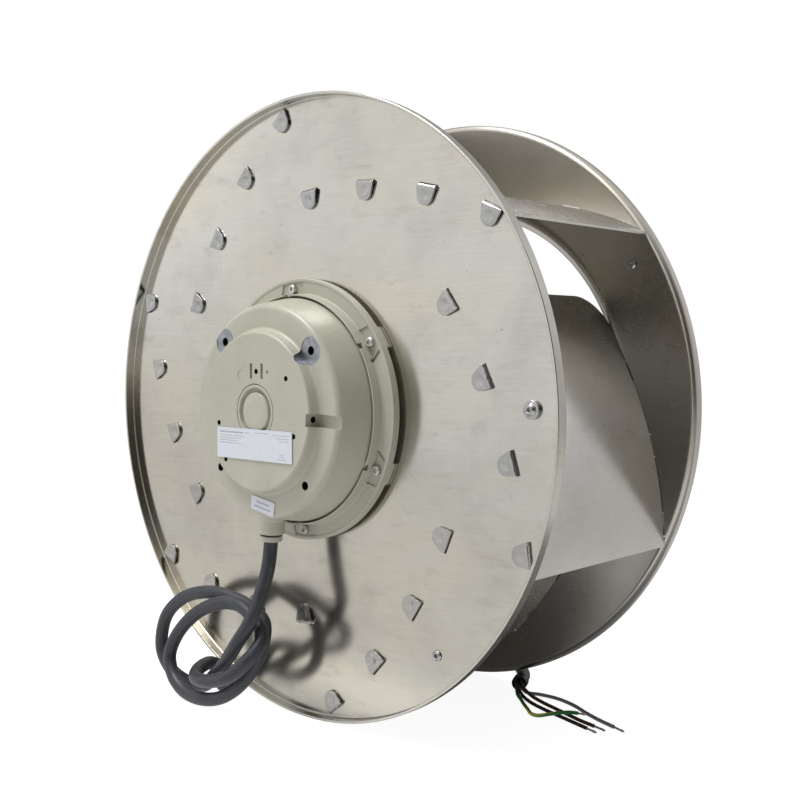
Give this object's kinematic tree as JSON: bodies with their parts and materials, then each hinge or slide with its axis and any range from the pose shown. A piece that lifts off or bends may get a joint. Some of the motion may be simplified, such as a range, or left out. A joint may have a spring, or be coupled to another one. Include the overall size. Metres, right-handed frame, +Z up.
{
  "type": "plug fan",
  "caption": "Plug fan: a backward-curved centrifugal wheel between a back plate and a dished inlet shroud, turned by an external-rotor motor with a free mains cable.",
  "frame": {"origin": "centre of the four-hole pattern on the motor's mounting seat, on the fan's axis", "axes": "+Y along the fan's axis from the motor's mounting side to the inlet, +Z up as the fan stands in the picture"},
  "size_m": [0.56, 0.3477, 0.5601],
  "materials": {
    "wheel_sheet": "mill finish with fine brushing and stains",
    "stator_casting": "satin",
    "rotor_casting": "satin",
    "fastener_steel": "zinc plated",
    "rivet_steel": "plain",
    "bright_steel": "ground",
    "lamination": "oxidised",
    "winding": "varnished",
    "label": "satin foil, bare",
    "rubber": "matte",
    "cable_sheath": "satin",
    "tape": "satin",
    "core_grey": "satin",
    "core_green": "satin, green with a yellow stripe",
    "core_brown": "satin",
    "core_black": "satin",
    "conductor": "tinned strands"
  },
  "bodies": {
    "motor": {"stator_housing": "stator_casting", "end_cap": "stator_casting", "large_label": "label", "small_label": "label", "gland_seal": "rubber", "gland_collar": "stator_casting", "stator_core": "lamination", "winding_rear": "winding", "winding_front": "winding", "bearing_rear_outer": "bright_steel", "bearing_front_outer": "bright_steel", "wave_spring": "bright_steel", "cable": "cable_sheath", "cable_tape": "tape", "core_grey": "core_grey", "core_green": "core_green", "core_brown": "core_brown", "core_black": "core_black", "conductor_1": "conductor", "conductor_2": "conductor", "conductor_3": "conductor", "conductor_4": "conductor"},
    "impeller": {"back_plate": "wheel_sheet", "front_shroud": "wheel_sheet", "blade_1": "wheel_sheet", "blade_2": "wheel_sheet", "blade_3": "wheel_sheet", "blade_4": "wheel_sheet", "blade_5": "wheel_sheet", "blade_6": "wheel_sheet", "rotor_housing": "rotor_casting", "rotor_flange": "rotor_casting", "rotor_screw_1": "fastener_steel", "rotor_screw_2": "fastener_steel", "rotor_screw_3": "fastener_steel", "rotor_screw_4": "fastener_steel", "rotor_screw_5": "fastener_steel", "rotor_screw_6": "fastener_steel", "rotor_nut_1": "fastener_steel", "rotor_nut_2": "fastener_steel", "rotor_nut_3": "fastener_steel", "rotor_nut_4": "fastener_steel", "rotor_nut_5": "fastener_steel", "rotor_nut_6": "fastener_steel", "rotor_core": "lamination", "shaft": "bright_steel", "bearing_rear_inner": "bright_steel", "bearing_front_inner": "bright_steel", "shaft_ring": "bright_steel", "balance_rivet_1": "rivet_steel", "balance_rivet_2": "rivet_steel", "shroud_rivet": "rivet_steel"},
    "cage_rear": {"bearing_rear_cage": "bright_steel"},
    "cage_front": {"bearing_front_cage": "bright_steel"}
  },
  "joints": [
    {"name": "impeller_spin", "type": "hinge", "parent": "motor", "child": "impeller", "pos_m": [0, 0, 0], "axis": [0, -1, 0], "continuous": true},
    {"name": "cage_rear_spin", "type": "hinge", "parent": "motor", "child": "cage_rear", "pos_m": [0, 0.0127, 0], "axis": [0, -1, 0], "continuous": true},
    {"name": "cage_front_spin", "type": "hinge", "parent": "motor", "child": "cage_front", "pos_m": [0, 0.0922, 0], "axis": [0, -1, 0], "continuous": true}
  ],
  "couplings": [
    {"joint": "cage_rear_spin", "follows": "impeller_spin", "ratio": 0.408},
    {"joint": "cage_front_spin", "follows": "impeller_spin", "ratio": 0.408}
  ]
}
